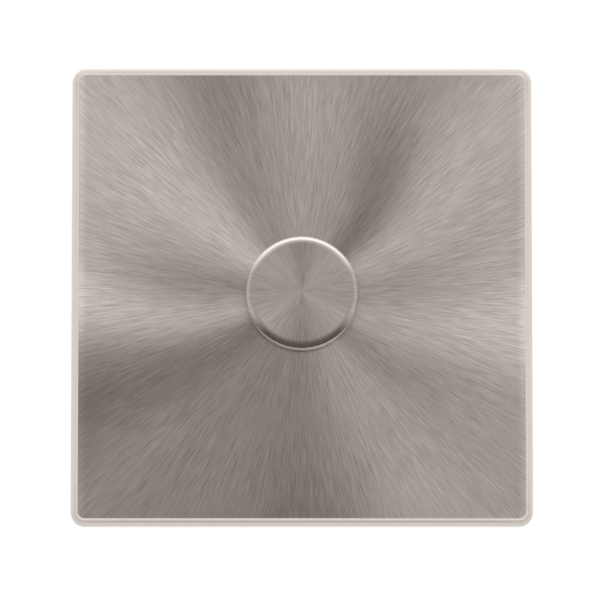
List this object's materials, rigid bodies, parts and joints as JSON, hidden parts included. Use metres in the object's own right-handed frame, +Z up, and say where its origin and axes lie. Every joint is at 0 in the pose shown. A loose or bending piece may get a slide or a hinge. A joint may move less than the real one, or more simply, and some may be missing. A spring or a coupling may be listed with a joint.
{
  "type": "dimmer switch",
  "caption": "Square brushed-metal wall dimmer: a push-and-turn knob on a clip-on plate, with the control module and its wire terminals behind.",
  "frame": {"origin": "on the wall surface, behind the middle of the plate", "axes": "+Y into the wall box, +Z up, +X to the user's right; the knob faces -Y"},
  "size_m": [0.09, 0.0363, 0.09],
  "materials": {
    "brushed_plate": "radially brushed, pearl nickel tone",
    "brushed_knob": "radially brushed face, turned side",
    "frame_moulding": "fine spark-eroded grain",
    "zinc_screw": "zinc plated",
    "plated_nut": "nickel plated",
    "cast_bush": "die-cast zinc",
    "sink_aluminium": "mill finish sheet",
    "black_moulding": "moulded, glass filled",
    "phenolic": "punched phenolic sheet",
    "carbon_ink": "printed carbon",
    "tinned_lead": "tinned",
    "rotor_moulding": "acetal, smooth",
    "contact_bronze": "phosphor bronze strip",
    "spindle_metal": "turned",
    "knob_core": "moulded nylon",
    "spring_steel": "bright wire and strip",
    "board_laminate": "solder resist over laminate",
    "device_epoxy": "moulded epoxy with a metal tab",
    "pad_silicone": "silicone sheet",
    "ferrite": "coated ferrite",
    "copper_wire": "enamelled copper",
    "film_box": "potted box",
    "can_sleeve": "shrunk sleeve",
    "varistor_coat": "dipped epoxy coat",
    "fuse_case": "moulded case",
    "trimmer_case": "moulded case",
    "terminal_moulding": "moulded",
    "terminal_brass": "extruded brass",
    "terminal_screw": "zinc plated",
    "housing_moulding": "moulded, fine grain"
  },
  "bodies": {
    "root": {"cover_plate": "brushed_plate", "clip_frame": "frame_moulding", "fixing_screws": "zinc_screw", "lock_washer": "plated_nut", "bush_nut": "plated_nut", "heat_sink": "sink_aluminium", "pot_bush": "cast_bush", "pot_case": "black_moulding", "track_disc": "phenolic", "carbon_track": "carbon_ink", "pot_terminals": "tinned_lead", "switch_body": "black_moulding", "switch_base": "black_moulding", "switch_contacts": "tinned_lead", "return_spring": "spring_steel", "circuit_board": "board_laminate", "transistor_left": "device_epoxy", "transistor_right": "device_epoxy", "insulating_pads": "pad_silicone", "transistor_screws": "zinc_screw", "toroid_core": "ferrite", "toroid_winding": "copper_wire", "film_capacitor": "film_box", "reservoir_capacitor": "can_sleeve", "varistor": "varistor_coat", "fuse": "fuse_case", "trim_pot": "trimmer_case", "controller_chip": "black_moulding", "terminal_block": "terminal_moulding", "terminal_clamps": "terminal_brass", "terminal_screws": "terminal_screw", "module_housing": "housing_moulding", "housing_screws": "zinc_screw"},
    "rotor_body": {"rotor": "rotor_moulding", "wiper": "contact_bronze"},
    "spindle_body": {"spindle": "spindle_metal", "spindle_clip": "tinned_lead", "knob_shell": "brushed_knob", "knob_insert": "knob_core", "knob_spring": "spring_steel"},
    "plunger_body": {"switch_plunger": "rotor_moulding", "contact_bridge": "contact_bronze"}
  },
  "joints": [
    {"name": "knob_turn", "type": "hinge", "parent": "root", "child": "rotor_body", "pos_m": [0, 0, 0], "axis": [0, 1, 0], "range_deg": [0, 270]},
    {"name": "knob_push", "type": "slide", "parent": "rotor_body", "child": "spindle_body", "axis": [0, 1, 0], "range_m": [0, 0.001], "stiffness_N_per_m": 1500, "springref_m": -0.0006},
    {"name": "plunger_travel", "type": "slide", "parent": "root", "child": "plunger_body", "axis": [0, 1, 0], "range_m": [0, 0.001], "deforming": ["return_spring"]}
  ],
  "couplings": [
    {"joint": "plunger_travel", "follows": "knob_push", "ratio": 1}
  ]
}
